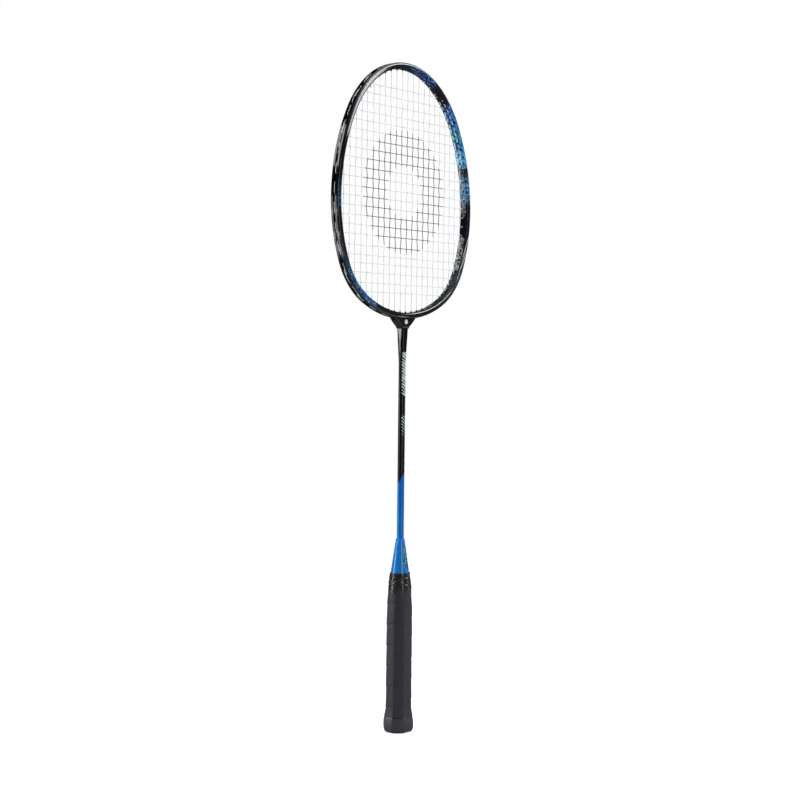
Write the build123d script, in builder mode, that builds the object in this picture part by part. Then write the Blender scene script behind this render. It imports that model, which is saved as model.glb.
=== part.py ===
from build123d import *
import os
from math import atan2, ceil, cos, hypot, pi, radians, sin, sqrt, tan

# A badminton racket in millimetres. It stands on its butt: +Z runs up the shaft to the head,
# X is the width of the head and Y is square to the strings. The origin is the middle of the
# flat end of the butt cap.

os.makedirs("parts", exist_ok=True)

# Overall sizes
overall_length = 675.0
head_width = 203.0
head_height = 256.5
widest_drop = 142.0  # from the top down to where the head is widest

# Head outline: each quarter is a crown arc, a shoulder arc and a side arc, all tangent
upper_shoulder_radius = 99.0
upper_crown_angle = 32.0
upper_side_angle = 62.6
lower_shoulder_radius = 71.0
lower_crown_angle = 29.0
lower_side_angle = 68.0

# Tube of the head
tube_thickness = 6.2  # in the plane of the strings
tube_depth = 10.6
tube_corner = 2.1
tube_wall = 1.0
cavity_cheek = 1.6  # wall on the front and back, which is thicker
groove_width = 3.4
groove_depth = 1.5

# Strings and their sleeves
string_size = 0.7
string_gap = 0.1  # between two strings that cross
main_count = 22
main_spacing = 8.4
cross_count = 23
top_cross_drop = 27.0  # of the first cross below the top of the head
bottom_cross_rise = 25.5  # of the last cross above the foot of the head
least_flange_gap = 1.0
# From the last hole of a string to its tie-off hole, along the rim towards the throat
main_tie_step = 10.0
first_cross_tie_step = 5.2
last_cross_tie_step = -10.2
hole_lean = 0.15  # share of the turn towards the string that the hole takes
sleeve_room = 0.2  # round a string in its sleeve, and in a tie-off sleeve
tie_off_room = 0.3
sleeve_wall = 0.4
sleeve_fit = 0.05  # round a sleeve in its hole
sleeve_stub = 1.2  # how far the sleeve stands inside the head
flange_reach = 0.35  # how far the flange stands out past the barrel
flange_height = 0.4
flange_seat_gap = 0.05
lip_flare = 0.4
loop_gap = 0.2  # between a flange and a string that passes over it in the groove
exit_bend = 0.7
mouth_bend = 1.0
mouth_reach = 0.6
weave_bend = 8.0
groove_step = 8.0  # longest run of a string along the curved groove
groove_entry = 2.5  # from a hole to where its string has come round into the groove
knot_wall = 0.85
knot_length = 2.2
knot_tail = 0.6

# Shaft and throat
shaft_size = 7.1
shaft_wall = 1.0
shaft_foot = 98.0
shaft_taper = 34.5  # length of the end that swells into the throat
throat_width = 8.6
throat_depth = 9.6
throat_corner = 2.6
throat_height = 10.0  # from the end of the shaft to the foot of the head
shoulder_lip = 0.4  # how far the throat stands out past the shaft
shoulder_width = 13.0
shoulder_step = 2.5
shoulder_slope = 36.87
shoulder_run = 17.0
tee_inset = 0.3  # how much the throat lies behind the front and back of the head
tee_corner = 1.8
tee_flange_room = 0.2
joint_gap = 0.05
spigot_length = 40.0
tang_room = 0.4  # between the tang in the throat and the flanges on both sides of it
saddle_width = 46.0
plug_length = 12.0

# Handle
grip_width = 26.6
grip_depth = 23.9
grip_bevel = 7.2
wrap_thickness = 1.8
wrap_overlap = 0.35
wrap_pitch = 21.0
wrap_foot = 16.0
handle_top = 161.5
shoulder_foot = 121.0
turning_room = 0.52  # from the corners of the octagon out to where the turned shoulder starts
shoulder_top_radius = 7.6  # of the bare wood
neck_wall = 2.45
neck_length = 12.0
core_foot = 4.0
core_hollow_size = 12.0
core_hollow_depth = 60.0
bond_gap = 0.1
wrap_top = 160.5
collar_height = 20.0
collar_thickness = 0.3
cone_height = 34.5
cone_foot_size = 18.8
cone_lip = 0.8
cone_round = 0.5
cap_height = 26.0
cap_wall = 1.3
# Skirt of the butt cap: height, and how far it stands out from the wood
cap_skirt = [(0.0, 2.0), (2.2, 3.6), (6.5, 4.3), (11.5, 4.0), (wrap_foot, 3.2)]
badge_size = 17.0
badge_thickness = 0.6
tack_head = 4.0
tack_head_thickness = 0.5
tack_shank = 1.0
tack_length = 6.0
tack_height = 37.0
staple_wire = 0.8
staple_span = 6.0
staple_leg = 4.0
staple_height = 21.0
staple_stand = 0.6  # of the crown from the wood's flats; it lies flush in the cap

widest_height = overall_length - widest_drop
top_cross_height = overall_length - top_cross_drop
bottom_cross_height = overall_length - head_height + bottom_cross_rise
sleeve_bore = string_size + 2 * sleeve_room
tie_off_bore = string_size + 2 * tie_off_room
sleeve_size = sleeve_bore + 2 * sleeve_wall
hole_size = sleeve_size + 2 * sleeve_fit
flange_size = sleeve_size + 2 * flange_reach
least_hole_gap = flange_size + least_flange_gap
# From the groove's floor to the middle of a string outside the head, and how far a string
# steps aside there to pass another
loop_lift = flange_seat_gap + flange_height + loop_gap + string_size / 2
side_step = string_size + string_gap
knot_size = string_size + 2 * knot_wall
shaft_top = overall_length - head_height - throat_height
shaft_taper_start = shaft_top - shaft_taper
spigot_size = shaft_size - 2 * shaft_wall - 2 * joint_gap
tang_size = main_spacing - flange_size - 2 * tang_room
neck_size = shaft_size + 2 * neck_wall
cone_tip_size = shaft_size + 2 * cone_lip
core_width = grip_width - 2 * wrap_thickness
core_depth = grip_depth - 2 * wrap_thickness
corner_growth = 2 - sqrt(2)  # how much a 45 degree bevel grows for each mm of offset
core_bevel = grip_bevel - wrap_thickness * corner_growth
shoulder_foot_radius = hypot(core_width / 2, core_depth / 2 - core_bevel) + turning_room
skirt_top = cap_skirt[-1][1]


# ---- outline of the head ----

def quarter_arcs(width, height, shoulder_radius, first_angle, second_angle):
    """Three tangent arcs from the top of a quarter outline to its side: centre, radius, angles."""
    a, b = radians(first_angle), radians(second_angle)
    across = width - shoulder_radius * (sin(b) - sin(a))
    along = height - shoulder_radius * (cos(a) - cos(b))
    share = sin(a) * cos(b) - (1 - sin(b)) * (1 - cos(a))
    crown = (across * cos(b) - along * (1 - sin(b))) / share
    side = (along * sin(a) - across * (1 - cos(a))) / share
    arcs, x, z = [], 0.0, height - crown
    for radius, after, start, end in (
        (crown, shoulder_radius, 0, a), (shoulder_radius, side, a, b), (side, side, b, pi / 2)
    ):
        arcs.append((x, z, radius, start, end))
        x, z = x + (radius - after) * sin(end), z + (radius - after) * cos(end)
    return arcs


half_width = (head_width - tube_thickness) / 2
head_top = overall_length - tube_thickness / 2
head_foot = overall_length - head_height + tube_thickness / 2
upper_arcs = quarter_arcs(
    half_width, head_top - widest_height, upper_shoulder_radius, upper_crown_angle, upper_side_angle
)
lower_arcs = quarter_arcs(
    half_width, widest_height - head_foot, lower_shoulder_radius, lower_crown_angle, lower_side_angle
)
# The right half from the crown to the foot; angles are those of the outward normal from +Z.
half_outline = [(x, widest_height + z, r, a, b) for x, z, r, a, b in upper_arcs]
half_outline += [(x, widest_height - z, r, pi - b, pi - a) for x, z, r, a, b in reversed(lower_arcs)]
half_rim = sum(radius * (end - start) for _, _, radius, start, end in half_outline)


def rim(distance, offset):
    """Point and normal angle at a distance along the right half of the tube's centre line."""
    left = min(max(distance, 0), half_rim)
    for x, z, radius, start, end in half_outline:
        angle = start + left / radius
        if angle <= end or end == half_outline[-1][4]:
            break
        left -= radius * (end - start)
    return x + (radius + offset) * sin(angle), z + (radius + offset) * cos(angle), angle


def outline_face(offset, mode=Mode.ADD):
    """The whole outline of the head, moved outward by offset, as a face of the current sketch."""
    with BuildLine() as outline:
        x, z, _ = rim(0, offset)
        place, heading = (x, z), (1, 0)
        for _, _, radius, start, end in half_outline:
            arc = JernArc(place, heading, radius + offset, -(end - start) * 180 / pi)
            place, heading = arc @ 1, arc % 1
        mirror(about=Plane.YZ)
    make_face(outline.edges(), mode=mode)


# ---- string holes ----

def solve(function, low, high):
    """Where a rising function crosses zero, by halving."""
    for _ in range(50):
        middle = (low + high) / 2
        low, high = (middle, high) if function(middle) < 0 else (low, middle)
    return middle


def hole_axis(distance, heading):
    """Middle of a hole and its outward direction, for a string that runs out at that heading."""
    x, z, normal = rim(distance, 0)
    lean = hole_lean * (heading - normal)
    return x, z, normal + lean, cos(lean)


def on_axis(hole, offset):
    """Point of a hole's axis at an offset from the tube's centre line."""
    x, z, angle, slope = hole
    return x + offset / slope * sin(angle), z + offset / slope * cos(angle)


mouth_offset = -(tube_thickness / 2 + sleeve_stub + mouth_reach)
floor_offset = tube_thickness / 2 - groove_depth
loop_offset = floor_offset + loop_lift
side_rim = sum(radius * (end - start) for _, _, radius, start, end in half_outline[:3])
up, across, down = 0.0, pi / 2, pi
heading_of = {"top": up, "side": across, "foot": down}


def main_hole(reach, end):
    """Rim distance at which the string at this distance from the middle meets its mouth."""
    if end == "top":
        return solve(lambda s: on_axis(hole_axis(s, up), mouth_offset)[0] - reach, 0, side_rim)
    return solve(
        lambda s: reach - on_axis(hole_axis(s, down), mouth_offset)[0], side_rim, half_rim
    )


def cross_hole(height):
    return solve(lambda s: height - on_axis(hole_axis(s, across), mouth_offset)[1], 0, half_rim)


cross_pitch = (top_cross_height - bottom_cross_height) / (cross_count - 1)


def side_holes(tie_offs):
    """Rim distance of every hole on one side of the head, kept apart from its neighbours."""
    holes = {}
    for k in range(main_count // 2):
        reach = main_spacing * (k + 0.5)
        holes["top", k] = main_hole(reach, "top")
        holes["foot", k] = main_hole(reach, "foot")
    for j in range(cross_count):
        holes["side", j] = cross_hole(top_cross_height - j * cross_pitch)
    for last, step in tie_offs:
        holes["tie", last] = holes[last] + step
    names = sorted(holes, key=holes.get)
    for _ in range(60):
        for one, two in zip(names, names[1:]):
            short = least_hole_gap - (holes[two] - holes[one])
            if short > 0:
                holes[one] -= short / 2
                holes[two] += short / 2
    return holes


last_main = ("foot", main_count // 2 - 1)
first_cross, last_cross = ("side", 0), ("side", cross_count - 1)
holes = {
    -1: side_holes([(last_main, main_tie_step), (first_cross, first_cross_tie_step)]),
    1: side_holes([(last_main, main_tie_step), (last_cross, last_cross_tie_step)]),
}


def hole_heading(name):
    return heading_of[name[1][0] if name[0] == "tie" else name[0]]


def hole_point(side, name, offset, y=0.0):
    """Point on a hole's axis, on the left (-1) or the right (1) of the head."""
    x, z = on_axis(hole_axis(holes[side][name], hole_heading(name)), offset)
    return Vector(side * x, y, z)


def hole_plane(side, name, offset, square=False):
    """Plane across a hole, facing outward: square to the hole or, when asked, to the rim."""
    distance = holes[side][name]
    _, _, angle, _ = hole_axis(distance, hole_heading(name))
    if square:
        angle = rim(distance, 0)[2]
    return Plane(
        origin=hole_point(side, name, offset), x_dir=(0, 1, 0), z_dir=(side * sin(angle), 0, cos(angle))
    )


def hole_locations(wanted, offset, square=False):
    return [
        Location(hole_plane(side, name, offset, square))
        for side in (-1, 1) for name in holes[side] if wanted(side, name)
    ]


# ---- routes of the two strings ----

def string_line(kind, number):
    """Mouths of one run of string in the bed: lower end first for a main, left end for a cross."""
    if kind == "main":
        side = -1 if number < main_count // 2 else 1
        k = main_count // 2 - 1 - number if side < 0 else number - main_count // 2
        return hole_point(side, ("foot", k), mouth_offset), hole_point(side, ("top", k), mouth_offset)
    name = ("side", number)
    return hole_point(-1, name, mouth_offset), hole_point(1, name, mouth_offset)


main_lines = [string_line("main", i) for i in range(main_count)]
cross_lines = [string_line("cross", j) for j in range(cross_count)]


def meeting(one, two):
    """Shares along two lines of the bed at which they cross."""
    ax, az = one[1].X - one[0].X, one[1].Z - one[0].Z
    bx, bz = two[1].X - two[0].X, two[1].Z - two[0].Z
    cx, cz = two[0].X - one[0].X, two[0].Z - one[0].Z
    turn = ax * bz - az * bx
    return (cx * bz - cz * bx) / turn, (cx * az - cz * ax) / turn


# A bend rounds off the top of the weave by this much, so the crossing points stand higher.
weave_turn = 2 * atan2(string_size + string_gap, main_spacing)
weave_round = weave_bend * (1 / cos(weave_turn / 2) - 1)


def woven_run(kind, number):
    """Points of one run: its two mouths, and between them each crossing, over and under by turns."""
    own, others = (main_lines, cross_lines) if kind == "main" else (cross_lines, main_lines)
    start, end = own[number]
    lift = (string_size + string_gap) / 2 + weave_round
    sign = 1 if kind == "main" else -1
    points = []
    for other_number, other in enumerate(others):
        share, other_share = meeting(own[number], other)
        if 0 < share < 1 and 0 < other_share < 1:
            over = sign * (1 if (number + other_number) % 2 else -1)
            middle = start + (end - start) * share
            points.append((share, Vector(middle.X, over * lift, middle.Z)))
    return [start] + [point for _, point in sorted(points, key=lambda p: p[0])] + [end]


def along_groove(side, start, end, own):
    """Points outside the head between two holes, beside the strings of holes that lie between."""
    first, last = holes[side][start], holes[side][end]
    low, high = min(first, last), max(first, last)
    crowded = any(low < place < high for name, place in holes[side].items())
    if not crowded and high - low < groove_step * 1.5:
        return []
    y = own * side_step if crowded else 0.0
    inset = groove_entry if last > first else -groove_entry
    steps = max(ceil((high - low) / groove_step), 1)
    places = [first + inset + (last - first - 2 * inset) * n / steps for n in range(steps + 1)]
    return [Vector(side * rim(s, loop_offset)[0], y, rim(s, loop_offset)[1]) for s in places]


def tie_off(side, last, own):
    """From the tail inside the head, out through the tie-off hole and along to the last hole."""
    name = ("tie", last)
    tail = hole_point(side, name, mouth_offset - knot_length - knot_tail)
    outside = [hole_point(side, name, loop_offset)]
    return [tail] + outside + along_groove(side, name, last, own) + [hole_point(side, last, loop_offset)]


def main_route():
    """One string up and down the head, from the left tie-off to the right one."""
    half = main_count // 2
    points = tie_off(-1, last_main, 1)
    for number in range(main_count):
        run = woven_run("main", number)
        upward = number % 2 == 0
        points += run if upward else run[::-1]
        side = -1 if number < half else 1
        k = half - 1 - number if side < 0 else number - half
        end = "top" if upward else "foot"
        points.append(hole_point(side, (end, k), loop_offset))
        if number == main_count - 1:
            break
        next_side = -1 if number + 1 < half else 1
        next_k = half - 2 - number if next_side < 0 else number + 1 - half
        if next_side == side:
            points += along_groove(side, (end, k), (end, next_k), 1)
        points.append(hole_point(next_side, (end, next_k), loop_offset))
    return points + tie_off(1, last_main, 1)[-2::-1]


def cross_route():
    """One string back and forth across the head, from the upper left tie-off to the lower right."""
    points = tie_off(-1, first_cross, -1)
    for number in range(cross_count):
        run = woven_run("cross", number)
        rightward = number % 2 == 0
        points += run if rightward else run[::-1]
        side = 1 if rightward else -1
        name, after = ("side", number), ("side", number + 1)
        points.append(hole_point(side, name, loop_offset))
        if number < cross_count - 1:
            points += along_groove(side, name, after, -1) + [hole_point(side, after, loop_offset)]
    return points + tie_off(1, last_cross, -1)[-2::-1]


def bends(points):
    """Radius of each bend of a route: tight where it leaves or enters a hole, wide in the weave."""
    radii = []
    for before, here, after in zip(points, points[1:], points[2:]):
        one, two = here - before, after - here
        turn = radians(one.get_angle(two))
        wanted = exit_bend if turn > pi / 3 else mouth_bend if turn > pi / 6 else weave_bend
        radii.append(min(wanted, 0.45 * min(one.length, two.length) / tan(turn / 2)))
    return radii


# ---- head ----

with BuildPart() as head_frame:
    with BuildSketch(Plane.XZ):
        outline_face(tube_thickness / 2)
        outline_face(-tube_thickness / 2, mode=Mode.SUBTRACT)
    extrude(amount=tube_depth / 2, both=True)
    rims = head_frame.faces().filter_by(Axis.Y)
    fillet(rims.edges(), radius=tube_corner)
    with BuildSketch(Plane.XZ):
        outline_face(tube_thickness / 2 + groove_depth)
        outline_face(floor_offset, mode=Mode.SUBTRACT)
    extrude(amount=groove_width / 2, both=True, mode=Mode.SUBTRACT)
    with BuildSketch(Plane.XZ):
        outline_face(floor_offset - tube_wall)
        outline_face(-tube_thickness / 2 + tube_wall, mode=Mode.SUBTRACT)
    extrude(amount=tube_depth / 2 - cavity_cheek, both=True, mode=Mode.SUBTRACT)
    with Locations(*hole_locations(lambda side, name: True, 0)):
        Cylinder(hole_size / 2, 2 * tube_thickness, mode=Mode.SUBTRACT)
    with BuildSketch(Plane.XY.offset(head_foot - tube_thickness)):
        Circle(tang_size / 2 + joint_gap)
    extrude(amount=tube_thickness, mode=Mode.SUBTRACT)
head_frame.part.label = "head_frame"
export_step(head_frame.part, "parts/head_frame.step")


def sleeves(wanted, bore):
    """Flanged sleeves in the chosen holes: barrel, flange in the groove, bore and flared lip."""
    barrel = floor_offset + tube_thickness / 2 + sleeve_stub + flange_seat_gap + flange_height / 2
    tip = floor_offset + flange_seat_gap + flange_height
    with BuildPart() as group:
        with Locations(*hole_locations(wanted, floor_offset + flange_seat_gap + flange_height / 2)):
            Cylinder(sleeve_size / 2, barrel, align=(Align.CENTER, Align.CENTER, Align.MAX))
        with Locations(*hole_locations(wanted, floor_offset + flange_seat_gap, square=True)):
            Cylinder(flange_size / 2, flange_height, align=(Align.CENTER, Align.CENTER, Align.MIN))
        with Locations(*hole_locations(wanted, 0)):
            Cylinder(bore / 2, 3 * tube_thickness, mode=Mode.SUBTRACT)
        with Locations(*hole_locations(wanted, tip - lip_flare / 2)):
            Cone(bore / 2, bore / 2 + lip_flare, lip_flare, mode=Mode.SUBTRACT)
    return group


sleeve_groups = {
    "top_grommets": (lambda side, name: name[0] == "top", sleeve_bore),
    "throat_grommets": (lambda side, name: name[0] == "foot", sleeve_bore),
    "left_grommets": (lambda side, name: name[0] == "side" and side < 0, sleeve_bore),
    "right_grommets": (lambda side, name: name[0] == "side" and side > 0, sleeve_bore),
    "tie_off_grommets": (lambda side, name: name[0] == "tie", tie_off_bore),
}
for group_name, (wanted, bore) in sleeve_groups.items():
    group = sleeves(wanted, bore)
    group.part.label = group_name
    export_step(group.part, f"parts/{group_name}.step")


# ---- strings ----

for string_name, route in (("main_string", main_route()), ("cross_string", cross_route())):
    with BuildPart() as string:
        with BuildLine() as path:
            FilletPolyline(*route, radius=bends(route))
        with BuildSketch(Plane(origin=path.line @ 0, z_dir=path.line % 0)):
            Circle(string_size / 2)
        sweep(path=path.line)
    string_length = sum(edge.length for edge in path.edges())
    print(
        string_name, "length", round(string_length), "volume", round(string.part.volume, 1),
        "section times length", round(pi * (string_size / 2) ** 2 * string_length, 1),
        "least bend", round(min(bends(route)), 2), "widest bend", round(max(bends(route)), 2),
    )
    string.part.label = string_name
    export_step(string.part, f"parts/{string_name}.step")

knot_places = {
    "main_knots": [(-1, ("tie", last_main)), (1, ("tie", last_main))],
    "cross_knots": [(-1, ("tie", first_cross)), (1, ("tie", last_cross))],
}
for knot_name, places in knot_places.items():
    with BuildPart() as knots:
        middles = [Location(hole_plane(side, name, mouth_offset - knot_length / 2)) for side, name in places]
        with Locations(*middles):
            Cylinder(knot_size / 2, knot_length)
        fillet(knots.edges().filter_by(GeomType.CIRCLE), radius=knot_length / 3)
        with Locations(*middles):
            Cylinder((string_size + string_gap) / 2, 2 * knot_length, mode=Mode.SUBTRACT)
    knots.part.label = knot_name
    export_step(knots.part, f"parts/{knot_name}.step")


# ---- throat and shaft ----

def throat_outline(grow=0.0):
    """Rounded section where the shaft meets the throat, in the current sketch."""
    RectangleRounded(throat_width + 2 * grow, throat_depth + 2 * grow, throat_corner)


with BuildPart() as shaft:
    with BuildSketch(Plane.XY.offset(shaft_foot)):
        Circle(shaft_size / 2)
    extrude(amount=shaft_taper_start - shaft_foot)
    with BuildSketch(Plane.XY.offset(shaft_taper_start)):
        Circle(shaft_size / 2)
    with BuildSketch(Plane.XY.offset(shaft_top)):
        throat_outline()
    loft()
    with BuildSketch(Plane.XY.offset(shaft_foot)):
        Circle(shaft_size / 2 - shaft_wall)
    extrude(amount=shaft_top - shaft_foot, mode=Mode.SUBTRACT)
shaft.part.label = "shaft"
export_step(shaft.part, "parts/shaft.step")

shoulder_top = rim(half_rim, tube_thickness / 2)[1]
with BuildPart() as throat_tee:
    with BuildSketch(Plane.XZ):
        with BuildLine():
            low_corner = (throat_width / 2 + shoulder_lip, shaft_top + joint_gap)
            high_corner = (shoulder_run, shoulder_top + tube_thickness / 2)
            edge = Line((0, shaft_top + joint_gap), low_corner)
            step = Line(edge @ 1, (shoulder_width / 2, shaft_top + shoulder_step))
            slope = radians(shoulder_slope)
            sweep_up = TangentArc(step @ 1, high_corner, tangent=(cos(slope), sin(slope)))
            top = Line(sweep_up @ 1, (0, high_corner[1]))
            mirror(about=Plane.YZ)
        make_face()
    extrude(amount=tube_depth / 2 - tee_inset, both=True)
    side_edges = throat_tee.faces().filter_by(Axis.Y).edges()
    fillet(side_edges.filter_by(lambda e: e.center().Z < shoulder_top), radius=tee_corner)
    with BuildSketch(Plane.XZ):
        outline_face(tube_thickness / 2 + joint_gap)
    extrude(amount=tube_depth, both=True, mode=Mode.SUBTRACT)
    with BuildSketch(Plane.XY.offset(shaft_top)):
        Circle(tang_size / 2 + joint_gap)
    extrude(amount=throat_height + tube_thickness, mode=Mode.SUBTRACT)
    with Locations(*hole_locations(lambda side, name: name[0] == "foot", tube_thickness / 2)):
        Cylinder(flange_size / 2 + tee_flange_room, 2 * tube_thickness, mode=Mode.SUBTRACT)
throat_tee.part.label = "throat_tee"
export_step(throat_tee.part, "parts/throat_tee.step")

with BuildPart() as tee_insert:
    with BuildSketch(Plane.XZ):
        outline_face(floor_offset - tube_wall - joint_gap)
        outline_face(-tube_thickness / 2 + tube_wall + joint_gap, mode=Mode.SUBTRACT)
    extrude(amount=tube_depth / 2 - cavity_cheek - joint_gap, both=True)
    with BuildSketch(Plane.XZ):
        with Locations((0, head_foot)):
            Rectangle(saddle_width, 4 * tube_thickness)
    extrude(amount=tube_depth, both=True, mode=Mode.INTERSECT)
    with Locations(*hole_locations(lambda side, name: name[0] == "foot", 0)):
        Cylinder(hole_size / 2, 2 * tube_thickness, mode=Mode.SUBTRACT)
    with BuildSketch(Plane.XY.offset(shaft_top - spigot_length)):
        Circle(spigot_size / 2)
    extrude(amount=spigot_length)
    with BuildSketch(Plane.XY.offset(shaft_top)):
        Circle(tang_size / 2)
    extrude(amount=head_foot - shaft_top)
tee_insert.part.label = "tee_insert"
export_step(tee_insert.part, "parts/tee_insert.step")

with BuildPart() as shaft_end_plug:
    with BuildSketch(Plane.XY.offset(shaft_foot)):
        Circle(spigot_size / 2)
    extrude(amount=plug_length)
shaft_end_plug.part.label = "shaft_end_plug"
export_step(shaft_end_plug.part, "parts/shaft_end_plug.step")


# ---- handle ----

def grip_octagon(grow, mode=Mode.ADD):
    """Section of the handle in the current sketch, grown from that of the wood."""
    x, y = core_width / 2 + grow, core_depth / 2 + grow
    bevel = core_bevel + grow * corner_growth
    corner = [(x, y - bevel), (x - bevel, y)]
    ring = corner + [(-a, b) for a, b in reversed(corner)]
    Polygon(*ring, *[(-a, -b) for a, b in ring], align=None, mode=mode)


def shoulder_profile(grow):
    """Half section of what a lathe leaves of the handle, for a revolve that intersects."""
    slope = (shoulder_foot_radius - shoulder_top_radius) / (handle_top - shoulder_foot)
    wide = shoulder_foot_radius + grow
    with BuildLine(Plane.XZ) as profile:
        Polyline(
            (0, 0), (2 * wide, 0), (2 * wide, shoulder_foot), (wide, shoulder_foot),
            (wide - slope * (handle_top - shoulder_foot), handle_top), (0, handle_top), close=True,
        )
    return profile.edges()


def handle_blank(grow, foot, top):
    """The handle's octagon turned down at the shoulder, grown from the wood's surface."""
    with BuildPart() as blank:
        with BuildSketch(Plane.XY.offset(foot)):
            grip_octagon(grow)
        extrude(amount=top - foot)
        with BuildSketch(Plane.XZ):
            make_face(shoulder_profile(grow))
        revolve(axis=Axis.Z, mode=Mode.INTERSECT)
    return blank.part


def cap_sleeve(grow):
    """Where the butt cap goes up under the wrap: from the wood's surface out to the skirt."""
    with BuildPart() as sleeve:
        with BuildSketch(Plane.XY.offset(wrap_foot)):
            grip_octagon(skirt_top - wrap_thickness + grow)
        with BuildSketch(Plane.XY.offset(cap_height)):
            grip_octagon(grow)
        loft(ruled=True)
    return sleeve.part


def staple(side, grow):
    """A staple through the cap's sleeve into the wood: its crown and two legs, as boxes."""
    wire = staple_wire + 2 * grow
    face = side * (core_width / 2 + staple_stand)
    with BuildPart() as boxes:
        with Locations((face, 0, staple_height)):
            Box(wire, staple_span + 2 * grow, wire,
                align=(Align.MAX if side > 0 else Align.MIN, Align.CENTER, Align.CENTER))
        with Locations(*[(face, y * (staple_span - staple_wire) / 2, staple_height) for y in (-1, 1)]):
            Box(staple_leg + grow, wire, wire,
                align=(Align.MAX if side > 0 else Align.MIN, Align.CENTER, Align.CENTER))
    return boxes.part


def tack(grow):
    """A tack through the start of the wrap into the wood, on the front face."""
    middle = core_depth / 2 + wrap_thickness / 2
    with BuildPart() as pin:
        with BuildSketch(Plane.XZ.offset(middle - tack_head_thickness / 2 - grow)):
            with Locations((0, tack_height)):
                Circle(tack_head / 2 + grow)
        extrude(amount=tack_head_thickness + 2 * grow)
        with BuildSketch(Plane.XZ.offset(middle)):
            with Locations((0, tack_height)):
                Circle(tack_shank / 2 + grow)
        extrude(amount=-tack_length - grow)
    return pin.part


core_blank = handle_blank(0, core_foot, handle_top)
wrap_bore = handle_blank(bond_gap, cap_height, handle_top)
staples_room = [staple(side, bond_gap) for side in (-1, 1)]
tack_room = tack(bond_gap)
cap_room = cap_sleeve(bond_gap)
sleeve_body = cap_sleeve(0)

with BuildPart() as handle_core:
    add(core_blank)
    with BuildSketch(Plane.XY.offset(core_foot)):
        grip_octagon(wrap_thickness)
        grip_octagon(-cap_wall - bond_gap, mode=Mode.SUBTRACT)
    extrude(amount=cap_height + bond_gap - core_foot, mode=Mode.SUBTRACT)
    with BuildSketch(Plane.XY.offset(handle_top)):
        Circle(neck_size / 2)
    extrude(amount=neck_length)
    with BuildSketch(Plane.XY.offset(shaft_foot)):
        Circle(shaft_size / 2 + bond_gap)
    extrude(amount=handle_top + neck_length - shaft_foot, mode=Mode.SUBTRACT)
    with BuildSketch(Plane.XY.offset(core_foot)):
        Circle(core_hollow_size / 2)
    extrude(amount=core_hollow_depth, mode=Mode.SUBTRACT)
    for room in (*staples_room, tack_room):
        add(room, mode=Mode.SUBTRACT)
handle_core.part.label = "handle_core"
export_step(handle_core.part, "parts/handle_core.step")

with BuildPart() as butt_cap:
    for height, grow in cap_skirt:
        with BuildSketch(Plane.XY.offset(height)):
            grip_octagon(grow)
    loft()
    add(sleeve_body)
    with BuildSketch(Plane.XY.offset(core_foot - bond_gap)):
        grip_octagon(-cap_wall)
    extrude(amount=cap_height, mode=Mode.SUBTRACT)
    with BuildSketch(Plane.XY):
        Circle(badge_size / 2 + bond_gap)
    extrude(amount=badge_thickness + bond_gap, mode=Mode.SUBTRACT)
    for room in staples_room:
        add(room, mode=Mode.SUBTRACT)
butt_cap.part.label = "butt_cap"
export_step(butt_cap.part, "parts/butt_cap.step")

with BuildPart() as butt_badge:
    with BuildSketch(Plane.XY):
        Circle(badge_size / 2)
    extrude(amount=badge_thickness)
butt_badge.part.label = "butt_badge"
export_step(butt_badge.part, "parts/butt_badge.step")

with BuildPart() as cap_staples:
    for side in (-1, 1):
        add(staple(side, 0))
cap_staples.part.label = "cap_staples"
export_step(cap_staples.part, "parts/cap_staples.step")

with BuildPart() as grip_tack:
    add(tack(0))
grip_tack.part.label = "grip_tack"
export_step(grip_tack.part, "parts/grip_tack.step")

turns = ceil((wrap_top - cap_height) / wrap_pitch)
with BuildPart() as grip_wrap:
    with BuildSketch(Plane.XY.offset(wrap_foot + bond_gap)):
        grip_octagon(skirt_top)
    with BuildSketch(Plane.XY.offset(cap_height)):
        grip_octagon(wrap_thickness)
    loft(ruled=True)
    for turn in range(turns):
        low = cap_height + turn * wrap_pitch
        with BuildSketch(Plane.XY.offset(low)):
            grip_octagon(wrap_thickness + wrap_overlap)
        with BuildSketch(Plane.XY.offset(min(low + wrap_pitch, wrap_top))):
            grip_octagon(wrap_thickness)
        loft(ruled=True)
    with BuildSketch(Plane.XZ):
        make_face(shoulder_profile(wrap_thickness + wrap_overlap))
    revolve(axis=Axis.Z, mode=Mode.INTERSECT)
    for room in (wrap_bore, cap_room, tack_room):
        add(room, mode=Mode.SUBTRACT)
grip_wrap.part.label = "grip_wrap"
export_step(grip_wrap.part, "parts/grip_wrap.step")

tape_inside = wrap_thickness + wrap_overlap + joint_gap
tape_foot = handle_top - collar_height
tape_room = handle_blank(tape_inside, tape_foot, handle_top)
with BuildPart() as collar_tape:
    add(handle_blank(tape_inside + collar_thickness, tape_foot, handle_top))
    add(tape_room, mode=Mode.SUBTRACT)
collar_tape.part.label = "collar_tape"
export_step(collar_tape.part, "parts/collar_tape.step")

with BuildPart() as cone:
    with BuildSketch(Plane.XZ):
        with BuildLine():
            Polyline(
                (0, handle_top + bond_gap), (cone_foot_size / 2, handle_top + bond_gap),
                (cone_tip_size / 2, handle_top + cone_height), (0, handle_top + cone_height), close=True,
            )
        make_face()
    revolve(axis=Axis.Z)
    fillet(cone.edges().sort_by(Axis.Z)[-1], radius=cone_round)
    with BuildSketch(Plane.XY.offset(handle_top)):
        Circle(neck_size / 2 + bond_gap)
    extrude(amount=neck_length + bond_gap, mode=Mode.SUBTRACT)
    with BuildSketch(Plane.XY.offset(handle_top)):
        Circle(shaft_size / 2 + bond_gap)
    extrude(amount=cone_height, mode=Mode.SUBTRACT)
cone.part.label = "cone"
export_step(cone.part, "parts/cone.step")
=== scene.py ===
import math

import bpy
from mathutils import Matrix, Vector, noise


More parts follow.
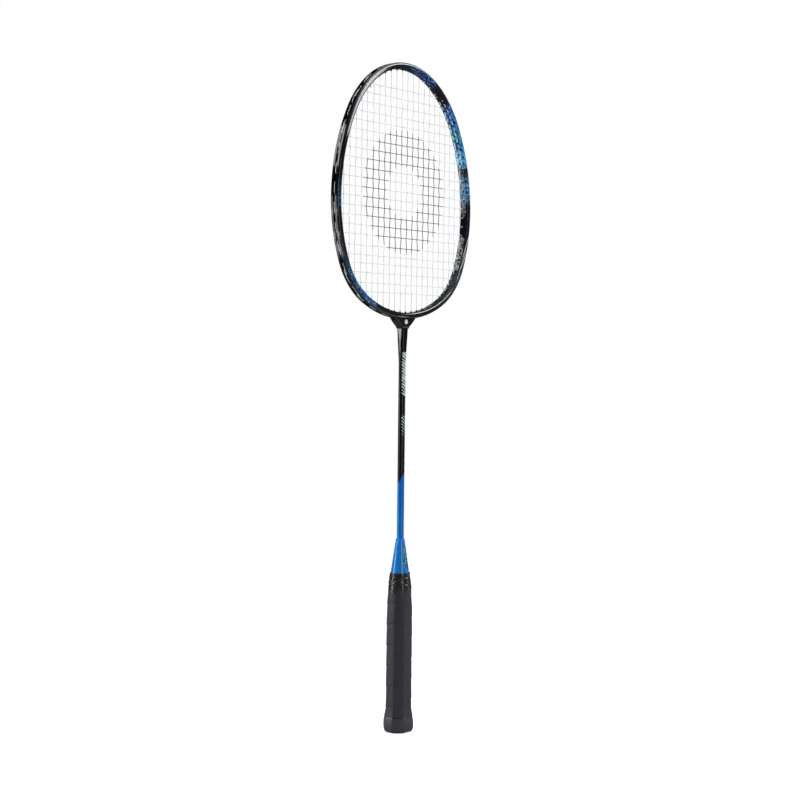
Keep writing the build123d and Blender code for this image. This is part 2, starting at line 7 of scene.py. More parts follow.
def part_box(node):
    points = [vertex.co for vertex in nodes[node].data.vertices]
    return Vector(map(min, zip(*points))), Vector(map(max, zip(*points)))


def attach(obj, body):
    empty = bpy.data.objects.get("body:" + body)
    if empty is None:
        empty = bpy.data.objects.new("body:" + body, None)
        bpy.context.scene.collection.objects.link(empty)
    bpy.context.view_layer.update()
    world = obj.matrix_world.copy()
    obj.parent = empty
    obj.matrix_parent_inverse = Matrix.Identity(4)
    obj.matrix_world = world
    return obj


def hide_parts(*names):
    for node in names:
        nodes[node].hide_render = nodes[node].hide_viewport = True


# A badminton racket: gloss carbon head and shaft, blue cone, wrapped octagonal handle.
# It stands on its butt with the strings square to Y. Metres.

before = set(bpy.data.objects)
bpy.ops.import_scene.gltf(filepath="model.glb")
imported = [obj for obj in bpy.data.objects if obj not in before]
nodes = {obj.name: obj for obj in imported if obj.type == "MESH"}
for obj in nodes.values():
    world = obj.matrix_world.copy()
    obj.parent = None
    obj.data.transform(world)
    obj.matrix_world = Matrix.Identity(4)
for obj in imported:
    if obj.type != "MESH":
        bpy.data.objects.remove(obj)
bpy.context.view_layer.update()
mm = 0.001
print("loaded", len(nodes), "nodes")


# ---------- small helpers

def hexColor(code):
    # sRGB hex to linear
    channels = [int(code[i:i + 2], 16) / 255 for i in (1, 3, 5)]
    return [c / 12.92 if c <= 0.04045 else ((c + 0.055) / 1.055) ** 2.4 for c in channels] + [1]


def addNode(tree, kind, settings=None, links=None, stops=None):
    # adds a node, sets its properties, and links or fills its sockets
    node = tree.nodes.new(kind)
    for name, value in (settings or {}).items():
        setattr(node, name, value)
    for socket, value in (links or {}).items():
        if isinstance(value, bpy.types.NodeSocket):
            tree.links.new(value, node.inputs[socket])
        else:
            node.inputs[socket].default_value = value
    if stops:
        ramp = node.color_ramp
        while len(ramp.elements) < len(stops):
            ramp.elements.new(0.5)
        for element, (place, color) in zip(ramp.elements, sorted(stops)):
            element.position = place
            element.color = hexColor(color) if isinstance(color, str) else [color] * 3 + [1]
    return node


def calc(tree, operation, *values):
    # a math node's result
    return addNode(tree, "ShaderNodeMath", {"operation": operation}, dict(enumerate(values))).outputs[0]


def dot(tree, one, two):
    product = addNode(tree, "ShaderNodeVectorMath", {"operation": "DOT_PRODUCT"}, {0: one, 1: two})
    return product.outputs["Value"]


def remap(tree, value, low, high, newLow=0.0, newHigh=1.0):
    sockets = {0: value, 1: low, 2: high, 3: newLow, 4: newHigh}
    return addNode(tree, "ShaderNodeMapRange", links=sockets).outputs[0]


def rampColor(tree, share, stops):
    return addNode(tree, "ShaderNodeValToRGB", links={0: share}, stops=stops).outputs[0]


def mixColor(tree, share, first, second):
    return addNode(tree, "ShaderNodeMix", {"data_type": "RGBA"}, {0: share, 6: first, 7: second}).outputs[2]


def mixValue(tree, share, first, second):
    return addNode(tree, "ShaderNodeMix", {"data_type": "FLOAT"}, {0: share, 2: first, 3: second}).outputs[0]


def noiseAt(tree, place, scale, detail):
    # scale in cells a metre
    sockets = {"Vector": place, "Scale": scale, "Detail": detail}
    return addNode(tree, "ShaderNodeTexNoise", links=sockets).outputs[0]


def cellsAt(tree, place, size):
    # a Voronoi pattern with cells of the given size in mm
    sockets = {"Vector": place, "Scale": 1 / (size * mm)}
    return addNode(tree, "ShaderNodeTexVoronoi", {"feature": "F1"}, sockets)


def bump(tree, height, strength, depth):
    # depth in mm
    sockets = {"Strength": strength, "Distance": depth * mm, "Height": height}
    return addNode(tree, "ShaderNodeBump", links=sockets).outputs[0]


def newMaterial(name):
    material = bpy.data.materials.new(name)
    material.use_nodes = True
    tree = material.node_tree
    tree.nodes.clear()
    shader = addNode(tree, "ShaderNodeBsdfPrincipled")
    addNode(tree, "ShaderNodeOutputMaterial", links={0: shader.outputs[0]})
    spot = addNode(tree, "ShaderNodeTexCoord").outputs["Object"]
    return material, tree, shader, spot


def dress(material, *names):
    for name in names:
        data = nodes[name].data
        data.materials.clear()
        data.materials.append(material)


# ---------- camera

camera = {
    "lens": 67.3,
    "distance": 1.513,
    "height": 0.376,
    "azimuth": -48.57,
    "roll": 0.63,
    "aimRight": -0.0018,
    "aimHeight": 0.3365,
}
eyeTurn = math.radians(camera["azimuth"])
eye = Vector((math.sin(eyeTurn), -math.cos(eyeTurn), 0))  # from the racket towards the camera
toRight = Vector((math.cos(eyeTurn), math.sin(eyeTurn), 0))
cameraData = bpy.data.cameras.new("camera")
cameraData.lens = camera["lens"]
cameraData.sensor_width = 36
cameraObject = bpy.data.objects.new("camera", cameraData)
bpy.context.scene.collection.objects.link(cameraObject)
stand = eye * camera["distance"] + Vector((0, 0, camera["height"]))
look = toRight * camera["aimRight"] + Vector((0, 0, camera["aimHeight"])) - stand
roll = Matrix.Rotation(math.radians(camera["roll"]), 4, "Z")
turn = look.to_track_quat("-Z", "Y").to_matrix().to_4x4() @ roll
cameraObject.matrix_world = Matrix.Translation(stand) @ turn
bpy.context.scene.camera = cameraObject
print("camera set")


# ---------- floor and light

stage = {
    "floorRadius": 3.0,
    "floorFade": (0.5, 1.6),  # metres from the racket over which the floor melts into the backdrop
    "floorColor": "#bfc1c4",
    "floorGlow": 0.72,
    "floorDrop": 0.0003,  # metres under the racket, so that the two don't share a plane
    "backdrop": "#ffffff",
    "sky": "#eef2fa",
    "ambient": 0.13,
    "boxDistance": 1.3,
}
world = bpy.data.worlds.new("paleStudio")
world.use_nodes = True
bpy.context.scene.world = world
sky = world.node_tree
sky.nodes.clear()
soft = addNode(sky, "ShaderNodeBackground",
               links={"Color": hexColor(stage["sky"]), "Strength": stage["ambient"]})
seen = addNode(sky, "ShaderNodeBackground", links={"Color": hexColor(stage["backdrop"]), "Strength": 1.0})
rays = addNode(sky, "ShaderNodeLightPath")
choice = addNode(sky, "ShaderNodeMixShader",
                 links={0: rays.outputs["Is Camera Ray"], 1: soft.outputs[0], 2: seen.outputs[0]})
addNode(sky, "ShaderNodeOutputWorld", links={0: choice.outputs[0]})

bpy.ops.mesh.primitive_circle_add(vertices=96, radius=stage["floorRadius"], fill_type="NGON",
                                  location=(0, 0, -stage["floorDrop"]))
floor = bpy.context.object
floor.name = "studio_floor"
floorPaint = bpy.data.materials.new("matte_painted_floor")  # flat pale paint, no gloss
floorPaint.use_nodes = True
tree = floorPaint.node_tree
tree.nodes.clear()
spot = addNode(tree, "ShaderNodeTexCoord").outputs["Object"]
reach = addNode(tree, "ShaderNodeVectorMath", {"operation": "LENGTH"}, {0: spot})
fade = addNode(tree, "ShaderNodeMapRange", {"interpolation_type": "SMOOTHSTEP"},
               {0: reach.outputs["Value"], 1: stage["floorFade"][0], 2: stage["floorFade"][1]})
paint = addNode(tree, "ShaderNodeBsdfDiffuse", links={0: hexColor(stage["floorColor"])})
rays = addNode(tree, "ShaderNodeLightPath")
glow = calc(tree, "MULTIPLY", rays.outputs["Is Camera Ray"], stage["floorGlow"])
shine = addNode(tree, "ShaderNodeEmission", links={1: glow})
lit = addNode(tree, "ShaderNodeAddShader", links={0: paint.outputs[0], 1: shine.outputs[0]})
clear = addNode(tree, "ShaderNodeBsdfTransparent")
under = addNode(tree, "ShaderNodeNewGeometry")  # the floor hides nothing from below
gone = calc(tree, "MAXIMUM", fade.outputs[0], under.outputs["Backfacing"])
blendFloor = addNode(tree, "ShaderNodeMixShader", links={0: gone, 1: lit.outputs[0], 2: clear.outputs[0]})
addNode(tree, "ShaderNodeOutputMaterial", links={0: blendFloor.outputs[0]})
floor.data.materials.append(floorPaint)


def softbox(name, azimuth, height, size, power, distance=stage["boxDistance"], aim=0.36):
    # an area light that looks at the racket; azimuth as the camera's, in degrees
    light = bpy.data.lights.new(name, "AREA")
    light.shape = "RECTANGLE"
    light.size, light.size_y = size
    light.energy = power
    holder = bpy.data.objects.new(name, light)
    bpy.context.scene.collection.objects.link(holder)
    turned = math.radians(azimuth)
    place = Vector((math.sin(turned) * distance, -math.cos(turned) * distance, height))
    facing = (Vector((0, 0, aim)) - place).to_track_quat("-Z", "Y").to_matrix().to_4x4()
    holder.matrix_world = Matrix.Translation(place) @ facing


# strips to the left and right of the camera draw the long edge lights; the rest is fill
softbox("leftStrip", camera["azimuth"] - 83, 0.30, (0.16, 0.8), 4.4, aim=0.3)
softbox("throatStrip", camera["azimuth"] + 97, 0.11, (0.04, 0.4), 0.4, aim=0.11)
softbox("headGlint", camera["azimuth"] + 93.4, 0.86, (0.08, 0.12), 0.25, aim=0.6)
softbox("middleStrip", camera["azimuth"] + 30, 0.3, (0.14, 1.4), 4, aim=0.3)
softbox("topBox", camera["azimuth"] + 180, 2.2, (1.4, 1.4), 16, distance=0.3)
softbox("leftFill", camera["azimuth"] - 88, 1.45, (1.0, 0.6), 33, distance=1.7)
softbox("rightFill", camera["azimuth"] + 90, 1.45, (1.0, 0.6), 33, distance=1.7)
softbox("backFill", camera["azimuth"] + 180, 1.1, (1.2, 1.0), 6, distance=1.8)
bpy.context.scene.view_settings.view_transform = "Standard"
print("floor and lights set")


# ---------- head and throat: gloss lacquer over carbon fibre

headFinish = {
    "drop": 142.0,  # mm from the top of the head to the point that angles round it are measured about
    # degrees round the head from the top, clockwise as seen from the front; the back is the same from behind
    "faceLow": [
        (-180, "#101013"), (-163, "#141417"), (-158, "#1c1614"), (-153, "#0b4474"), (-143, "#0b4070"),
        (-130, "#073a60"), (-124, "#09263a"), (-119, "#20180f"), (-111, "#0b0b0e"), (-99, "#08080b"),
        (-94, "#06304c"), (-84, "#07263c"), (-78, "#08080b"), (-58, "#0c0d10"), (-50, "#202228"),
        # from -50 to -24 degrees the greys are partly silver paint and partly a painted highlight of a lamp
        # on the face
        (-40, "#404349"), (-24, "#5a5d63"), (-17, "#121217"), (-8, "#08090f"), (0, "#08222f"),
        (6, "#0b2450"), (16, "#0d2c60"), (20, "#131315"), (28, "#17171a"), (31, "#0b3f7c"),
    ],
    "faceHigh": [
        (31, "#0b3f7c"), (40, "#0c5a90"), (46, "#0d7280"), (50, "#0c5a92"), (60, "#2487b4"),
        (64, "#0b0b0f"), (67, "#2a2831"), (72, "#0a547e"), (82, "#084263"), (86, "#08080b"),
        # from 120 to 145 degrees the paler grey-green on the charcoal is a painted highlight
        (98, "#0a0c1a"), (108, "#0b0b0f"), (120, "#1a1c1e"), (133, "#363d3e"), (145, "#292e30"),
        (156, "#131316"), (180, "#101013"),
    ],
    # degrees down from the top along either side
    "outer": [
        (0, "#0b1018"), (14, "#08080b"), (90, "#0a0a0d"), (96, "#0a0a0d"), (98, "#6c6e75"), (101, "#141418"),
        (108, "#101014"), (110, "#7c7e85"), (114, "#1a1a1e"), (120, "#60626a"), (124, "#0e0e12"),
        (180, "#0e0e11"),
    ],
    # cosines that part the sides of the tube: outward, inward, off the faces, and into the string groove
    "outwardFrom": 0.3,
    "inwardFrom": -0.6,
    "faceFrom": 0.55,
    "grooveUnder": -0.3,
    "weavePitch": 3.4,  # mm across the tows of the visible twill, drawn a little coarse to show
    "paintedTowSheen": (-0.75, 0.95),  # how dark and how light the tows go, as a share of the colour: a painted sheen of the weave
    "fleckSize": 1.1,  # mm
    "fleckTone": (-0.35, 0.6),
    "blackTint": 0.2,  # share of that pattern left in the black
    "tintFull": 0.1,  # blue less red from which the pattern shows in full
    "paintedGlint": 0.5,  # how far the palest flecks go to the pale flake colour: a painted glint of the metallic flakes
    "paintedGlintRare": (0.82, 0.86),  # a fleck's random value where its painted glint starts, and where it is full
    "paintedGlintTint": 0.45,  # share of the pattern under which no glint is painted
    "paintedGlintColor": "#a9cbe0",
    "silver": "#c9cdd2",
    "peelScale": 260.0,  # waves of the lacquer a metre
    "innerCoat": 0.45,  # clear coat on the palest flecks of the inward side
    "outerCoat": 0.3,  # clear coat on the outward side
    "tickTurns": 118,  # plain slanted ticks a whole turn of the head would hold, where lettering would be
    "tickSlant": 110.0,  # turns of the tick pattern a metre through the tube
    "lineWidth": 0.9,  # mm
    # thin silver lines low on each face, as two points (mm across, mm down from the top)
    "lines": [((100.3, 162.0), (85.6, 198.0)), ((97.3, 179.0), (83.1, 205.2))],
    "linesWithin": (98, 132),  # degrees
    "ticksWithin": (26, 60),
    "tickEdge": (2.4, 0.6),  # mm from the string holes to the row of ticks, and half its width
    "dotRise": 6.9,  # mm up the throat to a plain round mark
    "dotRadius": 2.3,
}


def zoneStops(zones):
    # degrees to the 0..1 of a ramp
    low, high = zones[0][0], zones[-1][0]
    return [((degrees - low) / (high - low), color) for degrees, color in zones]


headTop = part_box("head_frame")[1].z
headMiddle = headTop - headFinish["drop"] * mm
lacquer, tree, shader, spot = newMaterial("carbonFibre_gloss_lacquered")  # deep black under a mirror coat
split = addNode(tree, "ShaderNodeSeparateXYZ", links={0: spot})
sx, sy, sz = split.outputs
normal = addNode(tree, "ShaderNodeNewGeometry").outputs["Normal"]
tilt = addNode(tree, "ShaderNodeSeparateXYZ", links={0: normal}).outputs[1]
side = calc(tree, "SIGN", sy)
tilt = calc(tree, "MULTIPLY", tilt, side)  # below 0 in the string groove
rise = calc(tree, "SUBTRACT", sz, headMiddle)

# outward or inward side of the tube; the inward side carries the front's zones right through
spoke = addNode(tree, "ShaderNodeCombineXYZ", links={0: sx, 1: 0, 2: rise}).outputs[0]
spoke = addNode(tree, "ShaderNodeVectorMath", {"operation": "NORMALIZE"}, {0: spoke}).outputs[0]
outward = dot(tree, spoke, normal)
outside = calc(tree, "GREATER_THAN", outward, headFinish["outwardFrom"])
inside = calc(tree, "LESS_THAN", outward, headFinish["inwardFrom"])
back = calc(tree, "GREATER_THAN", sy, 0.0)
notInside = calc(tree, "SUBTRACT", 1.0, inside)
turned = calc(tree, "MULTIPLY", back, notInside)
flip = calc(tree, "MULTIPLY_ADD", turned, -2.0, 1.0)
across = calc(tree, "MULTIPLY", sx, flip)
angle = calc(tree, "ARCTAN2", across, rise)
share = calc(tree, "MULTIPLY_ADD", angle, 1 / math.tau, 0.5)
wide = calc(tree, "ABSOLUTE", sx)
sideAngle = calc(tree, "ARCTAN2", wide, rise)
sideShare = calc(tree, "DIVIDE", sideAngle, math.pi)
seam = (headFinish["faceHigh"][0][0] + 180) / 360
lowPart = remap(tree, share, 0.0, seam)
highPart = remap(tree, share, seam, 1.0)
lowColors = rampColor(tree, lowPart, zoneStops(headFinish["faceLow"]))
highColors = rampColor(tree, highPart, zoneStops(headFinish["faceHigh"]))
outerColors = rampColor(tree, sideShare, zoneStops(headFinish["outer"]))
past = calc(tree, "GREATER_THAN", share, seam)
faceColor = mixColor(tree, past, lowColors, highColors)

steep = calc(tree, "LESS_THAN", tilt, headFinish["faceFrom"])
onOuter = calc(tree, "MULTIPLY", outside, steep)
groove = calc(tree, "LESS_THAN", tilt, headFinish["grooveUnder"])
onOuter = calc(tree, "MAXIMUM", onOuter, groove)
onFace = calc(tree, "SUBTRACT", 1.0, onOuter)
zoneColor = mixColor(tree, onOuter, faceColor, outerColors)

# twill: slanted tows, light and dark by turns as a painted sheen of the weave, plain where the lacquer is
# tinted blue and faint in the black
flat = addNode(tree, "ShaderNodeCombineXYZ", links={0: across, 1: 0, 2: sz}).outputs[0]
solid = addNode(tree, "ShaderNodeCombineXYZ", links={0: across, 1: sy, 2: sz}).outputs[0]
twill = {
    "Vector": solid, "Scale": math.tau / (10 * headFinish["weavePitch"] * mm * math.sqrt(2)),
    "Distortion": 1.2, "Detail": 2.0, "Detail Scale": 3.0,
}
bands = {"wave_type": "BANDS", "bands_direction": "DIAGONAL"}
tows = addNode(tree, "ShaderNodeTexWave", bands, twill).outputs["Fac"]
hue = addNode(tree, "ShaderNodeSeparateColor", links={0: zoneColor})
tint = calc(tree, "SUBTRACT", hue.outputs[2], hue.outputs[0])
tint = remap(tree, tint, 0.0, headFinish["tintFull"], headFinish["blackTint"], 1.0)
paintedTowSheen = remap(tree, tows, 0.0, 1.0, *headFinish["paintedTowSheen"])
flecks = cellsAt(tree, solid, headFinish["fleckSize"])
fleckTone = addNode(tree, "ShaderNodeSeparateColor", links={0: flecks.outputs["Color"]}).outputs[0]
fleckTone = remap(tree, fleckTone, 0.0, 1.0, *headFinish["fleckTone"])
# the painted sheen of the tows plus the random tone of the flecks
tone = calc(tree, "ADD", paintedTowSheen, fleckTone)
tone = calc(tree, "MULTIPLY_ADD", tone, tint, 1.0)
toned = addNode(tree, "ShaderNodeVectorMath", {"operation": "SCALE"}, {0: zoneColor, "Scale": tone})
# the palest flecks in the blue zones are painted pale, as glints of metallic flakes
paintedGlint = addNode(tree, "ShaderNodeSeparateColor", links={0: flecks.outputs["Color"]}).outputs[1]
paintedGlint = remap(tree, paintedGlint, *headFinish["paintedGlintRare"], 0.0, headFinish["paintedGlint"])
inBlue = remap(tree, tint, headFinish["paintedGlintTint"], 1.0)
paintedGlint = calc(tree, "MULTIPLY", paintedGlint, inBlue)
toned = mixColor(tree, paintedGlint, toned.outputs[0], hexColor(headFinish["paintedGlintColor"]))

# plain marks: slanted ticks on the inner side, silver lines low on the face, a round mark on the throat
def within(limits):
    # 1 between two angles round the head
    middle = (limits[0] + limits[1]) / 2
    return calc(tree, "COMPARE", share, (middle + 180) / 360, (limits[1] - middle) / 360)


slant = calc(tree, "MULTIPLY", sy, headFinish["tickSlant"])
phase = calc(tree, "MULTIPLY_ADD", share, headFinish["tickTurns"], slant)
phase = calc(tree, "FRACT", phase)
tick = calc(tree, "LESS_THAN", phase, 0.5)
offHoles = calc(tree, "ABSOLUTE", sy)
row = calc(tree, "COMPARE", offHoles, headFinish["tickEdge"][0] * mm, headFinish["tickEdge"][1] * mm)
ticks = calc(tree, "MULTIPLY", tick, row)
tickZone = calc(tree, "MULTIPLY", within(headFinish["ticksWithin"]), inside)
marks = calc(tree, "MULTIPLY", ticks, tickZone)
lineWedge = within(headFinish["linesWithin"])
lineZone = calc(tree, "MULTIPLY", lineWedge, calc(tree, "MULTIPLY", onFace, notInside))
for one, two in headFinish["lines"]:
    start, end = (Vector((x * mm, 0, headTop - drop * mm)) for x, drop in (one, two))
    along = (end - start).normalized()
    beside = Vector((along.z, 0, -along.x))
    gap = dot(tree, flat, beside)
    line = calc(tree, "COMPARE", gap, beside.dot(start), headFinish["lineWidth"] / 2 * mm)
    marks = calc(tree, "MAXIMUM", marks, calc(tree, "MULTIPLY", line, lineZone))
dotPlace = (0, 0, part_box("throat_tee")[0].z + headFinish["dotRise"] * mm)
toDot = addNode(tree, "ShaderNodeVectorMath", {"operation": "DISTANCE"}, {0: flat, 1: dotPlace})
roundMark = calc(tree, "LESS_THAN", toDot.outputs["Value"], headFinish["dotRadius"] * mm)
marks = calc(tree, "MAXIMUM", marks, roundMark)
painted = mixColor(tree, marks, toned, hexColor(headFinish["silver"]))
tree.links.new(painted, shader.inputs["Base Color"])
shader.inputs["Roughness"].default_value = 0.4
shader.inputs["Specular IOR Level"].default_value = 0.0
shader.inputs["Coat Roughness"].default_value = 0.05
speckle = remap(tree, fleckTone, *headFinish["fleckTone"], 0.0, headFinish["innerCoat"])
coat = mixValue(tree, inside, 1.0, speckle)
coat = mixValue(tree, onOuter, coat, headFinish["outerCoat"])
tree.links.new(coat, shader.inputs["Coat Weight"])
peel = noiseAt(tree, spot, headFinish["peelScale"], 2.0)
tree.links.new(bump(tree, peel, 0.06, 0.2), shader.inputs["Normal"])
dress(lacquer, "head_frame", "throat_tee")
print("head dressed")


# ---------- strings and sleeves

stringFinish = {
    "color": "#e6e8e8",
    "shade": "#d3d7d9",
    "ink": "#060708",
    "grainScale": 900.0,  # fibres a metre
    "ringOut": 0.063,  # metres; a plain ring is stencilled on the middle of the bed
    "ringIn": 0.027,
    "edgeWander": 0.9,  # mm that the sponge edge of the ink wanders
}
nylon, tree, shader, spot = newMaterial("nylon_multifilament_coated")  # thin outer wrap under a satin coat
grain = noiseAt(tree, spot, stringFinish["grainScale"], 2.0)
split = addNode(tree, "ShaderNodeSeparateXYZ", links={0: spot})
bedLow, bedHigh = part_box("cross_string")
rise = calc(tree, "SUBTRACT", split.outputs[2], (bedLow.z + bedHigh.z) / 2)
bed = addNode(tree, "ShaderNodeCombineXYZ", links={0: split.outputs[0], 1: rise, 2: 0}).outputs[0]
radius = addNode(tree, "ShaderNodeVectorMath", {"operation": "LENGTH"}, {0: bed}).outputs["Value"]
wander = calc(tree, "MULTIPLY_ADD", grain, stringFinish["edgeWander"] * mm * 2, radius)
inside = calc(tree, "LESS_THAN", wander, stringFinish["ringOut"])
outside = calc(tree, "GREATER_THAN", wander, stringFinish["ringIn"])
inked = calc(tree, "MULTIPLY", inside, outside)
pale = rampColor(tree, grain, [(0.3, stringFinish["shade"]), (0.7, stringFinish["color"])])
color = mixColor(tree, inked, pale, hexColor(stringFinish["ink"]))
tree.links.new(color, shader.inputs["Base Color"])
shader.inputs["Roughness"].default_value = 0.38
tree.links.new(bump(tree, grain, 0.3, 0.05), shader.inputs["Normal"])
dress(nylon, "main_string", "cross_string", "main_knots", "cross_knots")

sleeveFinish = {"low": "#101012", "high": "#1c1c1f", "grainScale": 1800.0}  # grains a metre
sleeveNylon, tree, shader, spot = newMaterial("nylon_moulded_black")  # dull moulded skin with a faint grain
grain = noiseAt(tree, spot, sleeveFinish["grainScale"], 3.0)
color = rampColor(tree, grain, [(0.3, sleeveFinish["low"]), (0.7, sleeveFinish["high"])])
tree.links.new(color, shader.inputs["Base Color"])
shader.inputs["Roughness"].default_value = 0.42
dress(sleeveNylon, "top_grommets", "throat_grommets", "left_grommets", "right_grommets", "tie_off_grommets",
      "tee_insert", "shaft_end_plug")
print("strings and sleeves dressed")


# ---------- shaft and cone

shaftFinish = {
    "cutDrop": 151.5,  # mm from the top of the shaft to the slanted line between black and blue
    "cutSlope": 1.7,
    "deepening": (0.19, 0.26),  # metres up, from the paler blue to the deeper
    "black": "#08090b",
    "blue": "#0272c4",
    "deepBlue": "#0262b2",
    "hatch": "#cfe2de",
    "hatchPitch": 3.1,  # mm
    "hatchSlant": 0.8,
    "hatchFacing": 0.62,  # cosine from the front or back within which it is painted
    "hatchDrop": (110.5, 22.5),  # mm from the top of the shaft to the foot and the top of the hatching
    # share of the pitch that is painted, from the foot of the hatching to its top
    "hatchFill": [
        (0.0, 0.0), (0.06, 0.1), (0.24, 0.42), (0.26, 0.0),
        (0.48, 0.0), (0.5, 0.55), (0.98, 0.7), (0.99, 0.0),
    ],
    "raggedScale": 160.0,  # changes of the fill a metre
    "raggedFill": (0.6, 1.2),  # least and most that they multiply it by
}
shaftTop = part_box("shaft")[1]
hatchFoot, hatchTop = (shaftTop.z - drop * mm for drop in shaftFinish["hatchDrop"])
# black carbon with a blue painted foot, under clear lacquer
shaftLacquer, tree, shader, spot = newMaterial("carbonFibre_shaft_lacquered")
split = addNode(tree, "ShaderNodeSeparateXYZ", links={0: spot})
sx, sy, sz = split.outputs
sideways = dot(tree, spot, toRight)
level = calc(tree, "MULTIPLY_ADD", sideways, -shaftFinish["cutSlope"], sz)
above = calc(tree, "GREATER_THAN", level, shaftTop.z - shaftFinish["cutDrop"] * mm)
depth = remap(tree, sz, *shaftFinish["deepening"])
blue = rampColor(tree, depth, [(0.0, shaftFinish["blue"]), (1.0, shaftFinish["deepBlue"])])
color = mixColor(tree, above, blue, hexColor(shaftFinish["black"]))
# plain hatching on the front and back, where lettering would be: dense blocks above, thinning slants below
normal = addNode(tree, "ShaderNodeNewGeometry").outputs["Normal"]
tilt = addNode(tree, "ShaderNodeSeparateXYZ", links={0: normal})
front = calc(tree, "ABSOLUTE", tilt.outputs[1])
front = calc(tree, "GREATER_THAN", front, shaftFinish["hatchFacing"])
slanted = calc(tree, "MULTIPLY_ADD", sx, shaftFinish["hatchSlant"], sz)
count = calc(tree, "MULTIPLY", slanted, 1 / (shaftFinish["hatchPitch"] * mm))
phase = calc(tree, "FRACT", count)
ragged = addNode(tree, "ShaderNodeTexNoise", {"noise_dimensions": "1D"},
                 {"W": sz, "Scale": shaftFinish["raggedScale"], "Detail": 0.0}).outputs[0]
zone = remap(tree, sz, hatchFoot, hatchTop)
fill = rampColor(tree, zone, shaftFinish["hatchFill"])
ragged = remap(tree, ragged, 0.3, 0.7, *shaftFinish["raggedFill"])
fill = calc(tree, "MULTIPLY", fill, ragged)
hatch = calc(tree, "LESS_THAN", phase, fill)
hatch = calc(tree, "MULTIPLY", hatch, front)
color = mixColor(tree, hatch, color, hexColor(shaftFinish["hatch"]))
tree.links.new(color, shader.inputs["Base Color"])
shader.inputs["Roughness"].default_value = 0.35
shader.inputs["Specular IOR Level"].default_value = 0.0
shader.inputs["Coat Weight"].default_value = 0.7
shader.inputs["Coat Roughness"].default_value = 0.06
dress(shaftLacquer, "shaft")

coneFinish = {
    "low": "#0168ba", "high": "#017ace", "patch": "#044c70", "fleck": "#3aa0a8",
    "cloudScale": 120.0,  # clouds a metre
    "patchRise": 16.0,  # mm from the foot of the cone to the middle of the patch
    "patchHalf": 11.5,  # mm, half the height of the patch
    "patchFacing": 0.72,  # cosine of twice the turn from the front or back within which it lies
    "fleckSize": 1.6,  # mm
}
conePlastic, tree, shader, spot = newMaterial("ABS_moulded_blue_gloss")  # glossy through-coloured plastic
split = addNode(tree, "ShaderNodeSeparateXYZ", links={0: spot})
cloud = noiseAt(tree, spot, coneFinish["cloudScale"], 3.0)
color = rampColor(tree, cloud, [(0.3, coneFinish["low"]), (0.7, coneFinish["high"])])
# a plain dark speckled patch on the front and back
turned = calc(tree, "ARCTAN2", split.outputs[1], split.outputs[0])
doubled = calc(tree, "MULTIPLY", turned, 2.0)
facing = calc(tree, "COSINE", calc(tree, "ADD", doubled, math.pi))
facing = calc(tree, "GREATER_THAN", facing, coneFinish["patchFacing"])
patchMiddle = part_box("cone")[0].z + coneFinish["patchRise"] * mm
tall = calc(tree, "COMPARE", split.outputs[2], patchMiddle, coneFinish["patchHalf"] * mm)
patch = calc(tree, "MULTIPLY", facing, tall)
flecks = cellsAt(tree, spot, coneFinish["fleckSize"]).outputs["Color"]
flecks = addNode(tree, "ShaderNodeSeparateColor", links={0: flecks}).outputs[0]
patchColor = rampColor(tree, flecks, [(0.62, coneFinish["patch"]), (0.8, coneFinish["fleck"])])
color = mixColor(tree, patch, color, patchColor)
tree.links.new(color, shader.inputs["Base Color"])
shader.inputs["Roughness"].default_value = 0.22
shader.inputs["Coat Weight"].default_value = 0.5
dress(conePlastic, "cone")
print("shaft and cone dressed")


# ---------- handle

def octagonReach(angle, halfWidth, halfDepth, bevel, crispness):
    # distance from the axis to a rounded octagon; higher crispness keeps sharper corners
    total = 0.0
    slope = (halfWidth + halfDepth - bevel) / math.sqrt(2)
    for k in range(8):
        normal = k * math.pi / 4
        flatDistance = slope if k % 2 else (halfWidth if k % 4 == 0 else halfDepth)
        lean = math.cos(angle - normal)
        if lean > 0:
            total += (lean / flatDistance) ** crispness
    return total ** (-1 / crispness)


def ringMesh(name, rings, closeTop=False, closeFoot=False):
    # skins rings of points, each a list of (x, y, z), into one smooth mesh
    count = len(rings[0])
    points = [point for ring in rings for point in ring]
    faces = [
        (r * count + i, r * count + (i + 1) % count, (r + 1) * count + (i + 1) % count, (r + 1) * count + i)
        for r in range(len(rings) - 1) for i in range(count)
    ]
    if closeFoot:
        faces.append(tuple(reversed(range(count))))
    if closeTop:
        faces.append(tuple(range(len(points) - count, len(points))))
    mesh = bpy.data.meshes.new(name)
    mesh.from_pydata(points, [], faces)
    mesh.polygons.foreach_set("use_smooth", [True] * len(faces))
    piece = bpy.data.objects.new(name, mesh)
    bpy.context.scene.collection.objects.link(piece)
    return piece


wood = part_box("handle_core")[1] / mm
wrapLow, wrapHigh = (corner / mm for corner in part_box("grip_wrap"))
tapeLow, tapeHigh = (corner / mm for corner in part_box("collar_tape"))
woodBevel = 6.145  # mm that each corner of the wood takes off its width
bevelGrowth = 2 - math.sqrt(2)


def handleReach(angle, grow, crispness):
    # mm from the axis to a surface that stands out from the wood by grow
    return octagonReach(angle, wood.x + grow, wood.y + grow, woodBevel + grow * bevelGrowth, crispness)


wrap = {
    # mm
    "pitch": 21.0, "thickness": 1.8, "overlap": 0.35, "seamDepth": 0.3, "seamWidth": 0.8, "unevenness": 0.12,
    "skirt": 3.2,  # growth where the wrap starts over the cap
    "shoulderFoot": 121.0, "shoulderFootRadius": 12.7, "shoulderTopRadius": 7.6,
    "shoulderBlend": 30,  # below the foot of the shoulder, where the octagon starts to turn round
    "step": 0.5,  # from ring to ring
    # no unit
    "around": 200,  # points in a ring
    "skirtCurve": 1.6, "crispness": 34, "shoulderSoftness": 14,
    "lumps": (1.4, 0.09),  # noise cells from the axis out, and up a mm
}
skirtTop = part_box("butt_cap")[1].z / mm


